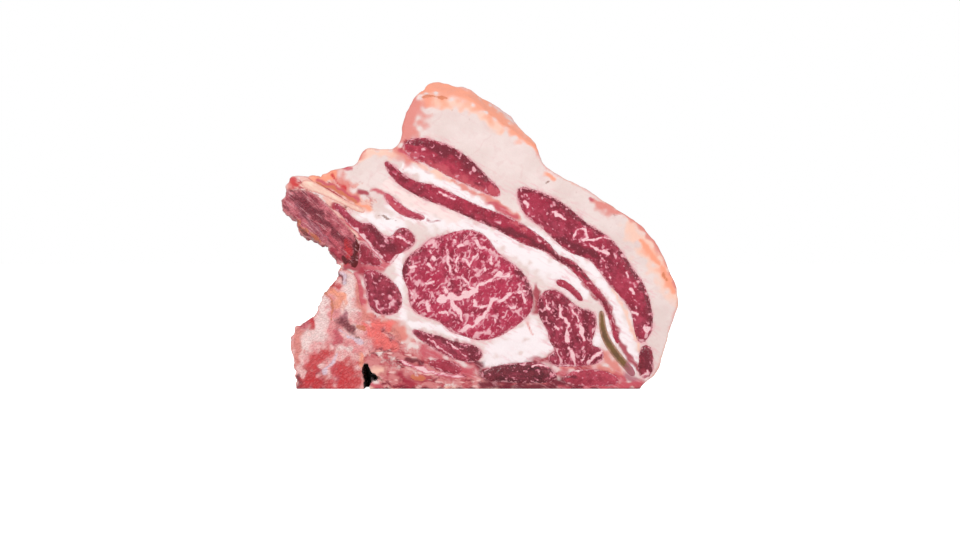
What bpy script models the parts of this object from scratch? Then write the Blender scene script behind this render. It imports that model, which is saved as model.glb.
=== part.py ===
"""Raw bone-in rib steak, standing on its flat rib side with the cut face towards -Y.

Every muscle, bone and strip of gristle is a piece of its own that runs right through the
steak, and the fat is the piece that holds them together. All outlines lie in the cut face:
x runs to the right and z up, in millimetres, with x = 0 at the middle of the steak's width
and z = 0 at its base.
"""
import math

import bmesh
import bpy
from mathutils import Matrix, Vector

MILLIMETRE = 0.001

# Driving sizes, in millimetres
THICKNESS = 56.0
BACK_FACE_SCALE = 0.965
NODE_GAP = 0.3
BODY_RIM = 1.5
LEAN_RIM = 0.6
LEAN_PROUD = 0.6
GRISTLE_RIM = 0.3
BELOW_BASE = 10.0
CUTTER_MARGIN = 6.0
BLOCK_WIDTH = 400.0
WELD_DISTANCE = 0.00002
SHARP_ANGLE = 40.0
CURVE_STEPS = 2
RIM_STEPS = 0

# Outline of the whole steak, up the bone side, over the fat cap and down to the base
BODY = [
    (-136, -BELOW_BASE), (-138, 7), (-140, 20), (-142, 34), (-140, 43), (-134, 48), (-126, 53),
    (-121, 60), (-117, 72), (-111, 78), (-107, 85), (-104.5, 92), (-109.5, 99.5), (-114, 103),
    (-114, 108), (-121, 109.5), (-127.5, 114), (-135, 115.5), (-138, 127), (-145.5, 132),
    (-149, 138), (-146, 145.5), (-144.5, 154), (-141, 160.5), (-129, 158.5), (-124.5, 160.5),
    (-120.5, 158.5), (-112, 164.5), (-101, 166.5), (-93, 169.5), (-88.5, 178), (-82, 181),
    (-66, 180), (-60, 186), (-58, 198), (-55, 208.5), (-49.5, 217.5), (-42.5, 226),
    (-38, 232), (-31, 233.5), (-16, 228.5), (-7, 226), (1.5, 219.5), (10.5, 216), (23, 207.5),
    (30, 197), (41, 185), (44.5, 175), (51, 166), (60, 160), (78, 151), (94.5, 140), (115, 127),
    (128, 114.5), (139, 97.5), (146, 82), (149, 68), (146, 55), (141.5, 38), (136.5, 22),
    (131, 10), (122, 2.5), (111, -BELOW_BASE),
]

# Sloping skin side of the fat cap: the lines where the slopes leave the cut face, how far
# they rise past it and how deep into the thickness they reach
RIM_SLOPES = {
    "peak_slope": {"start": (-46, 221), "end": (-8, 217.5), "rise": 14.0, "depth": 17.0},
    "flank_slope": {"start": (-8, 217.5), "end": (42, 180.5), "rise": 9.0, "depth": 15.0},
}
SLOPE_BLOCK = 60.0
SLOPE_REACH = 8.0

# Muscles with a rounded or branching section, as closed outlines
LEAN_OUTLINES = {
    "rib_eye": [
        (-11, 119.5), (0, 117.5), (7, 112), (13, 103), (22.5, 95.5), (31, 88.5), (37, 79),
        (40, 68), (38, 58), (30, 49.5), (20, 42.5), (9, 37.5), (-1.5, 36.5), (-12, 39.5),
        (-23, 43.5), (-30, 50), (-41, 54), (-49, 58), (-53, 65.5), (-54, 75), (-58, 84),
        (-57.5, 93), (-52, 101), (-45, 106), (-38, 112), (-27, 115.5),
    ],
    "eye_cap": [
        (43, 63), (46, 71), (52, 74.5), (61.5, 72), (69, 65), (77, 60), (85, 57.5), (87.5, 49),
        (85, 39), (84.5, 33), (89.5, 31), (93, 25), (88, 19), (77, 17.5), (64.5, 16.5),
        (54, 18.5), (51, 24), (56, 29), (52.5, 35), (50.5, 43.5), (45.5, 52.5),
    ],
    "spinal_lean": [
        (-109, 139), (-103, 136.5), (-96, 129), (-88.5, 124.5), (-82, 124.5), (-76, 118.5),
        (-67.5, 114), (-63, 119), (-57.5, 121), (-51, 117), (-48.5, 111), (-53, 105),
        (-61, 101), (-66.5, 94.5), (-72, 96), (-78, 103.5), (-86, 111.5), (-96, 121.5),
        (-104, 130.5),
    ],
    "spinal_wedge": [
        (-89.5, 110), (-85, 107), (-79, 100.5), (-74, 93.5), (-77, 92), (-84, 93.5),
        (-89.5, 94), (-90.5, 102),
    ],
    "deep_lean": [
        (-87, 87.5), (-81, 89.5), (-73, 86), (-64.5, 79.5), (-59.5, 72), (-58.5, 63.5),
        (-63, 57), (-72.5, 55.5), (-81, 59.5), (-84.5, 68), (-86, 78),
    ],
}

# Muscles that run as long strips: a centre line with the strip's width at each place
LEAN_STRIPS = {
    "top_lean": [
        (-50, 181, 15), (-38, 178, 18.5), (-21.5, 170, 20.5), (-8, 161.5, 17),
        (3, 153.5, 11.5), (12, 147.5, 7),
    ],
    "middle_lean": [
        (-70, 169, 3.5), (-60, 158, 8), (-49.5, 151.5, 9), (-38, 147.5, 12.5),
        (-25.5, 142.5, 11.5), (-1, 131.5, 11), (13, 126, 12), (24, 120.5, 13),
        (37.5, 113, 12), (51, 105.5, 6.5), (58, 98.5, 4.5), (66, 95, 6), (73.5, 88.5, 6),
        (82, 78.5, 5.5), (91.5, 67.5, 5), (97, 56.5, 3.5), (100.5, 44.5, 3.5),
        (103.5, 35.5, 3),
    ],
    "outer_lean": [
        (33, 146, 12), (41.5, 138, 21.5), (53, 131, 24), (64.5, 121, 25.5), (75, 112.5, 25),
        (88.5, 106, 22.5), (97.5, 96, 22.5), (106, 84, 21.5), (115.5, 72, 19),
        (121, 58.5, 15.5), (122.5, 46.5, 14), (121.5, 39, 9),
    ],
    "outer_lean_tip": [(124.5, 28.5, 9), (124.5, 20, 10.5), (124, 13.5, 11)],
    "cap_tail": [(59.5, 80, 5), (65, 77.5, 5), (71, 72.5, 4.5), (75.5, 67.5, 3.5)],
    "thin_lean": [
        (-70, 145, 4), (-65, 139.5, 6), (-58.5, 134, 6.5), (-51, 130.5, 5), (-43, 128.5, 3.5),
    ],
    "costal_lean_upper": [
        (-49, 43, 3.5), (-41, 38.5, 7), (-31.5, 34.5, 10.5), (-21, 29.5, 12), (-10, 27, 13.5),
        (-4, 26, 12),
    ],
    "costal_lean_lower": [(-36, 19, 5.5), (-26.5, 17, 9), (-17.5, 14.5, 7.5)],
    "bottom_lean": [
        (4, 10.5, 7), (15, 11.5, 12.5), (30, 12, 15), (44, 12, 15.5), (53.5, 9.5, 9),
    ],
    "base_lean": [(66, 7.5, 7.5), (75, 8.5, 12), (90, 8, 11.5), (100, 6.5, 8)],
}

# Gristle: the cream band above the feather bone and the end of the blade's cartilage
GRISTLE_STRIPS = {
    "ligament": [
        (-131, 154, 6), (-120, 149.5, 6), (-108.5, 143.5, 4.5), (-97, 137.5, 3.5), (-88, 133.5, 3),
    ],
    "blade_cartilage": [
        (91, 57, 3.5), (91.5, 52, 4.5), (92.5, 44, 5.5), (95.5, 36, 6), (100, 29, 6),
        (105, 22.5, 6), (110.5, 16.5, 5.5), (114.5, 11.5, 4.5),
    ],
}

# Bones: these outlines run past the steak's own outline, which trims them
BONE_OUTLINES = {
    "feather_bone": [
        (-141, 149), (-132, 149), (-124, 146), (-116.5, 140), (-109.5, 133), (-102.5, 125),
        (-96, 118), (-92.5, 112.5), (-94, 106), (-93.5, 99), (-97, 94), (-103, 94.5),
        (-113, 93), (-126, 101), (-143, 108), (-156, 124), (-160, 140), (-152, 150),
    ],
    "chine_bone": [
        (-112, 92), (-104, 90.5), (-97, 88), (-92.5, 82), (-91, 72), (-89, 62), (-84, 54),
        (-74, 50), (-64.5, 45), (-59, 37.5), (-62, 30.5), (-71, 28), (-81, 27), (-86.5, 22.5),
        (-88, 15), (-88.5, -BELOW_BASE), (-118, -2 * BELOW_BASE), (-150, -BELOW_BASE),
        (-153, 35), (-147, 54), (-133, 63), (-128, 75), (-120, 86),
    ],
}

# Open slot beside the chine bone, where the saw stopped
SLOT_DEPTH = 24.0
SAW_SLOT = [
    (-91, -BELOW_BASE), (-91, 8), (-90, 15), (-87, 19.5), (-83.5, 18), (-82, 13), (-78, 10),
    (-79.5, 6), (-83, 3), (-83.5, -BELOW_BASE),
]

# Finish: base colour, roughness
LEAN_COLOUR = (0.42, 0.055, 0.095, 1.0)
DARK_LEAN_COLOUR = (0.20, 0.028, 0.045, 1.0)
FAT_COLOUR = (0.84, 0.66, 0.61, 1.0)
BONE_COLOUR = (0.52, 0.17, 0.13, 1.0)
GRISTLE_COLOUR = (0.33, 0.22, 0.10, 1.0)
LIGAMENT_COLOUR = (0.80, 0.58, 0.42, 1.0)
DARK_PIECES = {"deep_lean", "bottom_lean", "outer_lean_tip"}


def clear_scene():
    for item in list(bpy.data.objects):
        bpy.data.objects.remove(item, do_unlink=True)


def new_collection(name):
    collection = bpy.data.collections.new(name)
    bpy.context.scene.collection.children.link(collection)
    return collection


def new_material(name, colour, roughness):
    material = bpy.data.materials.new(name)
    material.use_nodes = True
    shader = material.node_tree.nodes["Principled BSDF"]
    shader.inputs["Base Color"].default_value = colour
    shader.inputs["Roughness"].default_value = roughness
    shader.inputs["Metallic"].default_value = 0.0
    return material


def strip_outline(stations):
    """Closed outline round a centre line of (x, z, width), with a round end past each end."""
    centres = [Vector((x, z)) for x, z, width in stations]
    halves = [width / 2 for x, z, width in stations]
    last = len(stations) - 1
    upper = []
    lower = []
    for index, centre in enumerate(centres):
        along = (centres[min(index + 1, last)] - centres[max(index - 1, 0)]).normalized()
        across = Vector((-along.y, along.x)) * halves[index]
        upper.append(centre + across)
        lower.append(centre - across)
    start = centres[0] + (centres[0] - centres[1]).normalized() * halves[0]
    end = centres[last] + (centres[last] - centres[last - 1]).normalized() * halves[last]
    outline = [start] + upper + [end] + lower[::-1]
    return [tuple(point) for point in outline]


def signed_area(outline):
    total = 0.0
    for (x0, z0), (x1, z1) in zip(outline, outline[1:] + outline[:1]):
        total += x0 * z1 - x1 * z0
    return total / 2


def prism_mesh(name, outline, half_depth, rim, grow):
    """Solid whose section is the smooth outline, grown by a distance, with bevelled rims."""
    if signed_area(outline) < 0:
        outline = outline[::-1]
    curve = bpy.data.curves.new(name, "CURVE")
    curve.dimensions = "2D"
    curve.fill_mode = "BOTH"
    curve.resolution_u = CURVE_STEPS
    curve.extrude = (half_depth - rim) * MILLIMETRE
    curve.bevel_depth = rim * MILLIMETRE
    curve.bevel_resolution = RIM_STEPS
    curve.offset = (grow - rim) * MILLIMETRE
    spline = curve.splines.new("BEZIER")
    spline.bezier_points.add(len(outline) - 1)
    for point, (x, z) in zip(spline.bezier_points, outline):
        point.co = (x * MILLIMETRE, z * MILLIMETRE, 0.0)
        point.handle_left_type = "AUTO"
        point.handle_right_type = "AUTO"
    spline.use_cyclic_u = True

    flat = bpy.data.objects.new(name + "_outline", curve)
    flat.rotation_euler = (math.pi / 2, 0.0, 0.0)
    bpy.context.scene.collection.objects.link(flat)
    bpy.context.view_layer.update()
    evaluated = flat.evaluated_get(bpy.context.evaluated_depsgraph_get())
    mesh = bpy.data.meshes.new_from_object(evaluated)
    mesh.transform(flat.matrix_world)
    bpy.data.objects.remove(flat, do_unlink=True)
    bpy.data.curves.remove(curve)

    solid = bmesh.new()
    solid.from_mesh(mesh)
    bmesh.ops.remove_doubles(solid, verts=solid.verts, dist=WELD_DISTANCE)
    bmesh.ops.recalc_face_normals(solid, faces=solid.faces)
    solid.to_mesh(mesh)
    solid.free()
    mesh.name = name
    return mesh


def add_object(name, mesh, collection):
    item = bpy.data.objects.new(name, mesh)
    collection.objects.link(item)
    return item


def add_cutter(name, mesh):
    cutter = add_object(name, mesh, cutters)
    cutter.hide_render = True
    cutter.display_type = "WIRE"
    return cutter


def apply_boolean(item, operation, cutter):
    boolean = item.modifiers.new("cut", "BOOLEAN")
    boolean.operation = operation
    boolean.solver = "EXACT"
    boolean.object = cutter
    bpy.context.view_layer.update()
    evaluated = item.evaluated_get(bpy.context.evaluated_depsgraph_get())
    mesh = bpy.data.meshes.new_from_object(evaluated)
    item.modifiers.clear()
    item.data = mesh


def taper_towards_back(mesh):
    """The steak was cut a little slanted, so its section shrinks towards the back face."""
    front = -THICKNESS / 2 * MILLIMETRE
    depth = THICKNESS * MILLIMETRE
    for vertex in mesh.vertices:
        share = (vertex.co.y - front) / depth
        scale = 1.0 - (1.0 - BACK_FACE_SCALE) * share
        vertex.co.x *= scale
        vertex.co.z *= scale


def finish(item, material):
    item.data.materials.clear()
    item.data.materials.append(material)
    item.data.name = item.name
    taper_towards_back(item.data)
    item.data.shade_smooth()
    item.data.set_sharp_from_angle(angle=math.radians(SHARP_ANGLE))


def body_mesh(name):
    """The whole steak's solid, cut off flat at the base and sloped at the cap's front rim."""
    blank = add_object(name, prism_mesh(name, BODY, THICKNESS / 2, BODY_RIM, 0.0), steak)
    for block in body_cutters:
        apply_boolean(blank, "DIFFERENCE", block)
    mesh = blank.data
    bpy.data.objects.remove(blank, do_unlink=True)
    return mesh


def add_block(name, size, centre, turn):
    """Cube cutter of a size in millimetres, turned about its centre."""
    bpy.ops.mesh.primitive_cube_add(size=MILLIMETRE)
    block = bpy.context.object
    block.name = name
    for collection in list(block.users_collection):
        collection.objects.unlink(block)
    cutters.objects.link(block)
    block.matrix_world = (
        Matrix.Translation(centre * MILLIMETRE) @ turn.to_4x4() @ Matrix.Diagonal((*size, 1.0))
    )
    block.hide_render = True
    block.display_type = "WIRE"
    bpy.context.view_layer.update()
    return block


def make_below_base():
    """Block under the base plane that cuts the steak's body off flat."""
    size = Vector((BLOCK_WIDTH, 2 * THICKNESS, 4 * BELOW_BASE))
    return add_block("below_base", size, Vector((0.0, 0.0, -size.z / 2)), Matrix.Identity(3))


def make_rim_slope(name, start, end, rise, depth):
    """Block whose underside is the sloping skin side between two points of the front face."""
    front = -THICKNESS / 2
    first = Vector((start[0], front, start[1]))
    last = Vector((end[0], front, end[1]))
    along = (last - first).normalized()
    outward = Vector((-along.z, 0.0, along.x))
    backward = (outward * rise + Vector((0.0, depth, 0.0))).normalized()
    normal = along.cross(backward)
    turn = Matrix((along, backward, normal)).transposed()
    centre = (first + last) / 2 + normal * (SLOPE_BLOCK / 2)
    size = Vector(((last - first).length + SLOPE_REACH, 2 * SLOPE_BLOCK, SLOPE_BLOCK))
    return add_block(name, size, centre, turn)


def make_inner_piece(name, outline, proud, rim, material):
    """A muscle or strip of gristle with fat all round it."""
    mesh = prism_mesh(name, outline, THICKNESS / 2 + proud, rim, -NODE_GAP / 2)
    piece = add_object(name, mesh, steak)
    finish(piece, material)
    cut_from_fat(name, outline)
    return piece


def make_bone(name, outline, material):
    """A bone that reaches the outside, trimmed by the steak's own outline."""
    bone = add_object(name, body_mesh(name), steak)
    keep = add_cutter(name + "_shape", prism_mesh(name + "_shape", outline, THICKNESS, 0.0, -NODE_GAP / 2))
    apply_boolean(bone, "INTERSECT", keep)
    finish(bone, material)
    cut_from_fat(name, outline)
    return bone


def cut_from_fat(name, outline):
    """Opens the fat round a piece, half of the gap wider than the outline."""
    depth = THICKNESS / 2 + CUTTER_MARGIN
    cutter = add_cutter(name + "_cut", prism_mesh(name + "_cut", outline, depth, 0.0, NODE_GAP / 2))
    apply_boolean(fat, "DIFFERENCE", cutter)


clear_scene()
steak = new_collection("rib_steak")
cutters = new_collection("cutters")
body_cutters = [make_below_base()]
for slope_name, slope in RIM_SLOPES.items():
    body_cutters.append(make_rim_slope(slope_name, **slope))

lean_material = new_material("lean", LEAN_COLOUR, 0.38)
dark_lean_material = new_material("dark_lean", DARK_LEAN_COLOUR, 0.38)
fat_material = new_material("fat", FAT_COLOUR, 0.45)
bone_material = new_material("bone", BONE_COLOUR, 0.55)
gristle_material = new_material("gristle", GRISTLE_COLOUR, 0.40)
ligament_material = new_material("ligament", LIGAMENT_COLOUR, 0.45)

fat = add_object("fat", body_mesh("fat"), steak)

lean_outlines = dict(LEAN_OUTLINES)
for lean_name, stations in LEAN_STRIPS.items():
    lean_outlines[lean_name] = strip_outline(stations)
for lean_name, lean_outline in lean_outlines.items():
    chosen = dark_lean_material if lean_name in DARK_PIECES else lean_material
    make_inner_piece(lean_name, lean_outline, LEAN_PROUD, LEAN_RIM, chosen)

for strip_name, stations in GRISTLE_STRIPS.items():
    chosen = ligament_material if strip_name == "ligament" else gristle_material
    make_inner_piece(strip_name, strip_outline(stations), 0.0, GRISTLE_RIM, chosen)

for bone_name, bone_outline in BONE_OUTLINES.items():
    make_bone(bone_name, bone_outline, bone_material)

slot_reach = (SLOT_DEPTH + CUTTER_MARGIN) / 2
slot_mesh = prism_mesh("saw_slot", SAW_SLOT, slot_reach, 0.0, 0.0)
slot_middle = -THICKNESS / 2 - CUTTER_MARGIN + slot_reach
slot_mesh.transform(Matrix.Translation((0.0, slot_middle * MILLIMETRE, 0.0)))
slot = add_cutter("saw_slot", slot_mesh)
apply_boolean(fat, "DIFFERENCE", slot)
finish(fat, fat_material)
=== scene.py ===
# %% [markdown]
# # A raw bone-in rib steak
#
# The steak stands on its flat rib side and shows one cut face: a marbled eye muscle in the
# middle, long strips of lean round it, white seams and a thick cap of fat, two sawn bones at
# the left and a blade of gristle at the right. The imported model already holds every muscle,
# bone and strip as a plain solid. This script gives all of them one moist, uneven surface,
# cuts that surface along the muscles' borders, and then paints lean, fat and bone.

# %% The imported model
import math

import bmesh
import bpy
import numpy as np
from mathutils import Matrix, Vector, kdtree, noise


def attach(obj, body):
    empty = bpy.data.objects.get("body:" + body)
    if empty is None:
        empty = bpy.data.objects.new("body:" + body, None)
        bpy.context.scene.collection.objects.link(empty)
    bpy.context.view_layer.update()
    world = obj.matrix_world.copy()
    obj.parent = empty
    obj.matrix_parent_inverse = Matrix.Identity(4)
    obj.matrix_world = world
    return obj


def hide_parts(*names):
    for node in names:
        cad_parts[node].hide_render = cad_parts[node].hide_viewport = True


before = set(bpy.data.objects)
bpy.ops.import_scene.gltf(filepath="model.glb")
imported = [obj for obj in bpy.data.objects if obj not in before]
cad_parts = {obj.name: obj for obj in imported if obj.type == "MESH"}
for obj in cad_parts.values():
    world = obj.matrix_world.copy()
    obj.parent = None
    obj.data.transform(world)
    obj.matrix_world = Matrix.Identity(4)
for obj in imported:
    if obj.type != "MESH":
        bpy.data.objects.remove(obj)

for starter in ("Cube", "Light", "Camera"):
    if starter in bpy.data.objects:
        bpy.data.objects.remove(bpy.data.objects[starter])
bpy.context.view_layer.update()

# %% [markdown]
# ## Sizes that the steps share
#
# Blender works in metres, and a steak is easier to describe in millimetres, so one factor
# turns one into the other. The cut was a little slanted: the section shrinks evenly from the
# front face to the back face. A small function says where a point of any depth would lie in
# the front face. With it every drawing below is made once and holds through the thickness.
# Blender's vector noise starts from the clock unless it gets a seed, so it gets one here, and
# the steak comes out the same in each run.

# %% Shared sizes
MM = 0.001
HALF_DEPTH = 28.0
BACK_SCALE = 0.965
SEED = 9
noise.seed_set(SEED)


def section_scale(depth):
    """Scale of the section at a depth y, in millimetres, against the front face."""
    return 1.0 - (1.0 - BACK_SCALE) * (depth + HALF_DEPTH) / (2 * HALF_DEPTH)


def mesh_points(mesh):
    """All vertices of a mesh as an array, in millimetres."""
    flat = np.empty(len(mesh.vertices) * 3, np.float32)
    mesh.vertices.foreach_get("co", flat)
    return flat.reshape(-1, 3).astype(float) / MM


def mesh_normals(mesh):
    """All vertex normals of a mesh as an array."""
    flat = np.empty(len(mesh.vertices) * 3, np.float32)
    mesh.vertex_normals.foreach_get("vector", flat)
    return flat.reshape(-1, 3).astype(float)


def face_drawing(points):
    """Where points would lie in the front face's drawing, as x and z in millimetres."""
    scale = section_scale(points[:, 1])
    return np.stack((points[:, 0] / scale, points[:, 2] / scale), axis=1)


print("section at the back face:", section_scale(HALF_DEPTH))

# %% [markdown]
# ## The outline of each piece
#
# Each node is a straight prism, so one slice across its middle tells its whole shape. The
# Bisect operator makes that slice. Its edges come in no order, so they are walked from one
# to the next until the loop closes.

# %% Slicing the nodes
WELD = 0.000002
SLICE_TOLERANCE = 0.0000001


def slice_outline(name):
    """Outline of a node in the front face's drawing, as ordered x and z in millimetres."""
    shape = bmesh.new()
    shape.from_mesh(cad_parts[name].data)
    bmesh.ops.remove_doubles(shape, verts=shape.verts, dist=WELD)
    everything = shape.verts[:] + shape.edges[:] + shape.faces[:]
    cut = bmesh.ops.bisect_plane(
        shape, geom=everything, dist=SLICE_TOLERANCE, plane_co=(0, 0, 0), plane_no=(0, 1, 0)
    )
    edges = [item for item in cut["geom_cut"] if isinstance(item, bmesh.types.BMEdge)]
    loops = []
    while edges:
        edge = edges.pop()
        loop = [edge.verts[0], edge.verts[1]]
        while loop[-1] is not loop[0]:
            onward = [item for item in loop[-1].link_edges if item in edges]
            if not onward:
                break
            edges.remove(onward[0])
            loop.append(onward[0].other_vert(loop[-1]))
        loops.append([tuple(vert.co) for vert in loop[:-1]])
    shape.free()
    outline = np.array(max(loops, key=len)) / MM
    if outline_area(outline[:, 0], outline[:, 2]) < 0:
        outline = outline[::-1]
    return face_drawing(outline)


def outline_area(x, z):
    """Area of a closed outline, above nought when it runs against the clock."""
    return 0.5 * np.sum(x * np.roll(z, -1) - np.roll(x, -1) * z)


outlines = {name: slice_outline(name) for name in sorted(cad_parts)}
for name, outline in outlines.items():
    print(name, len(outline), "points,", round(outline_area(*outline.T) / 100, 1), "cm2")

# %% [markdown]
# ## One skin round everything
#
# Copies of all the nodes are grown by a hair, so that the narrow gaps between them close, and
# the Voxel Remesh modifier turns the whole bundle into one even, closed skin. An even mesh of
# about a millimetre is fine enough to carry the small humps and folds of raw meat, and every
# later step only has to move its vertices.

# %% The voxel skin
GROWTH = 0.2
VOXEL = 1.22


def mesh_object(name, shape):
    """A new object in the scene from a bmesh, which is freed."""
    mesh = bpy.data.meshes.new(name)
    shape.to_mesh(mesh)
    shape.free()
    made = bpy.data.objects.new(name, mesh)
    bpy.context.scene.collection.objects.link(made)
    return made


def apply_modifiers(made):
    """Makes what the object's modifiers show its own mesh."""
    bpy.context.view_layer.update()
    graph = bpy.context.evaluated_depsgraph_get()
    final = bpy.data.meshes.new_from_object(made.evaluated_get(graph))
    made.modifiers.clear()
    old = made.data
    made.data = final
    bpy.data.meshes.remove(old)


bundle = bmesh.new()
for name in outlines:
    first = len(bundle.verts)
    bundle.from_mesh(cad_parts[name].data)
    bundle.verts.ensure_lookup_table()
    own = bundle.verts[first:]
    bmesh.ops.remove_doubles(bundle, verts=own, dist=WELD)
bundle.normal_update()
for vert in bundle.verts:
    vert.co += vert.normal * GROWTH * MM
skin = mesh_object("skin", bundle)
remesh = skin.modifiers.new("voxels", "REMESH")
remesh.mode = "VOXEL"
remesh.voxel_size = VOXEL * MM
soften = skin.modifiers.new("soften", "SMOOTH")
soften.factor = 0.5
soften.iterations = 2
apply_modifiers(skin)
print("skin:", len(skin.data.vertices), "vertices")

# %% [markdown]
# ## How far a point is from a border
#
# The relief and the paint both depend on how deep a point lies inside a muscle. A point is
# inside an outline when a ray to the right crosses it an odd number of times, and a k-d tree
# of stations along the outlines finds the nearest border.

# %% Distances to the outlines
STATION_STEP = 0.6
BONES = ["feather_bone", "chine_bone"]
FIRM = BONES + ["ligament", "blade_cartilage"]
MUSCLES = [name for name in outlines if name not in FIRM + ["fat"]]


def walk(outline):
    """Stations along a closed outline, not further apart than the step."""
    stations = []
    for start, end in zip(outline, np.roll(outline, -1, axis=0)):
        count = max(1, math.ceil(np.linalg.norm(end - start) / STATION_STEP))
        stations += [start + (end - start) * index / count for index in range(count)]
    return stations


def nearest(points, stations):
    """Distance from each flat point to the nearest of the stations."""
    tree = kdtree.KDTree(len(stations))
    for index, (x, z) in enumerate(stations):
        tree.insert((x, z, 0), index)
    tree.balance()
    return np.array([tree.find((x, z, 0))[2] for x, z in points])


def border_away(points, names):
    """Distance from each flat point to the nearest outline of the named nodes."""
    return nearest(points, [spot for name in names for spot in walk(outlines[name])])


def inside(points, names):
    """True for each flat point inside the outline of any named node."""
    found = np.zeros(len(points), bool)
    for name in names:
        outline = outlines[name]
        crossings = np.zeros(len(points), int)
        for (xa, za), (xb, zb) in zip(outline, np.roll(outline, -1, axis=0)):
            between = (points[:, 1] > za) != (points[:, 1] > zb)
            slope = (xb - xa) / (zb - za) if zb != za else 0.0
            crossings += between & (points[:, 0] < xa + (points[:, 1] - za) * slope)
        found |= crossings % 2 == 1
    return found


def ease(values, low, high):
    """Smooth step from 0 at low to 1 at high."""
    share = np.clip((values - low) / (high - low), 0, 1)
    return share * share * (3 - 2 * share)


points = mesh_points(skin.data)
normals = mesh_normals(skin.data)
drawing = face_drawing(points)
in_lean = inside(drawing, MUSCLES)
in_bone = inside(drawing, BONES)
lean_border = border_away(drawing, MUSCLES)
firm_border = border_away(drawing, FIRM)
bone_away = border_away(drawing, BONES + ["ligament"])
print("vertices in lean:", int(in_lean.sum()), "and in bone:", int(in_bone.sum()))

# %% [markdown]
# ## Relief of the cut faces and of the outside
#
# Under the knife soft lean swells a little above the fat, and a fine crease is left along its
# border. Fat stays in broad, flat lobes, sawn bone is rough, the outside of the steak is lumpy,
# and beside the bones it is crumbly. Each of these is a height along the vertex normal, in
# millimetres, and smooth noise at a few sizes is enough for all of them. Each size starts at
# its own place in the noise, so that the humps don't line up. The foot of the steak stays
# flat, because the steak stands on it.

# %% Moving the skin
SWELL_WIDTH = 6.0
CREASE_AWAY = 0.2
CREASE_WIDTH = 0.9
BONE_SUNK = 0.5
CRUMBLY_REACH = (4.0, 10.0)
FOOT_REACH = (0.5, 5.0)
FOOT_PLANE = 0.6


def waves(points, size, offset=0.0):
    """Smooth noise with humps of a size in millimetres, from about -1 to 1."""
    shift = Vector((offset, offset, offset))
    return np.array([noise.noise(Vector(spot) / size + shift) for spot in points])


def creased(border):
    """1 in the crease along a border, and 0 away from it."""
    return np.exp(-((border - CREASE_AWAY) / CREASE_WIDTH) ** 2)


on_face = ease(np.abs(normals[:, 1]), 0.5, 0.9)
swell = np.where(in_lean, ease(lean_border, 0.0, SWELL_WIDTH), 0.0)
crease = creased(lean_border) + 0.6 * creased(firm_border)
broad = waves(points, 26.0)
lobes = waves(points, 9.0, 11.3)
grain = waves(points, 3.6, 27.1)
fleck = waves(points, 1.9, 41.9)
face_height = 0.9 * swell - 0.75 * crease + 0.5 * broad + 0.35 * lobes
face_height += 0.22 * grain + np.where(in_lean, 0.2, 0.08) * fleck
bone_height = -BONE_SUNK + 0.3 * lobes + 0.45 * grain + 0.25 * fleck
face_height = np.where(in_bone, bone_height, face_height)
side_height = 0.9 * broad + 0.9 * lobes + 0.35 * grain
crumbs = 0.4 * broad + 2.4 * waves(points, 5.5, 63.1) + 1.4 * grain + 0.4 * fleck
side_height += ease(bone_away, CRUMBLY_REACH[1], CRUMBLY_REACH[0]) * (crumbs - side_height)
height = on_face * face_height + (1 - on_face) * side_height
foot = ease(points[:, 2], *FOOT_REACH)
points += normals * (height * foot)[:, None]
points[:, 2] = np.where(points[:, 2] < FOOT_PLANE, 0.0, points[:, 2])
skin.data.vertices.foreach_set("co", (points * MM).astype(np.float32).ravel())
skin.data.update()
print("relief from", round(height.min(), 2), "to", round(height.max(), 2), "mm")

# %% [markdown]
# ## Cutting the skin along the borders
#
# Every muscle and bone gets a cutter: its outline, a hair larger, drawn out through the whole
# steak with the same slant. What the skin and the cutter share becomes the piece, and what is
# left after all cuts is the fat. The Manifold solver of the Boolean modifier does this in a
# moment, and neighbours meet exactly. Where a bone lies open at the side, its cutter is
# pushed out past the skin.

# %% Cutters and pieces
CUTTER_DEPTH = 36.0
HALF_GAP = 0.15
OPEN_SIDE = 2.5
TOUCHING = 0.6
SHARPEST = 0.2


def unit(steps, least=0.0):
    """Each step at a length of 1; those shorter than least stay shorter."""
    return steps / np.maximum(np.linalg.norm(steps, axis=1)[:, None], least)


def cutter_for(name):
    """A closed prism through the steak, on the outline of a node."""
    outline = outlines[name]
    before = outline - np.roll(outline, 1, axis=0)
    after = np.roll(outline, -1, axis=0) - outline
    along = unit(unit(before) + unit(after), SHARPEST)
    outward = np.stack((along[:, 1], -along[:, 0]), axis=1)
    reach = np.full(len(outline), HALF_GAP)
    if name in BONES:
        beside = border_away(outline, [other for other in outlines if other != name])
        reach = np.where(beside > TOUCHING, OPEN_SIDE, reach)
    outline = outline + outward * reach[:, None]
    shape = bmesh.new()
    front = section_scale(-CUTTER_DEPTH) * MM
    ring = [shape.verts.new((x * front, -CUTTER_DEPTH * MM, z * front)) for x, z in outline]
    first = shape.faces.new(ring)
    drawn = bmesh.ops.extrude_face_region(shape, geom=[first])
    far = [item for item in drawn["geom"] if isinstance(item, bmesh.types.BMVert)]
    taper = section_scale(CUTTER_DEPTH) / section_scale(-CUTTER_DEPTH)
    bmesh.ops.scale(shape, vec=(taper, 1, taper), verts=far)
    bmesh.ops.translate(shape, vec=(0, 2 * CUTTER_DEPTH * MM, 0), verts=far)
    bmesh.ops.recalc_face_normals(shape, faces=shape.faces)
    return mesh_object("cutter_" + name, shape)


def cut(target, cutter, operation):
    """Adds a Boolean modifier that cuts the target with the cutter."""
    knife = target.modifiers.new(cutter.name, "BOOLEAN")
    knife.object = cutter
    knife.operation = operation
    knife.solver = "MANIFOLD"


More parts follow.
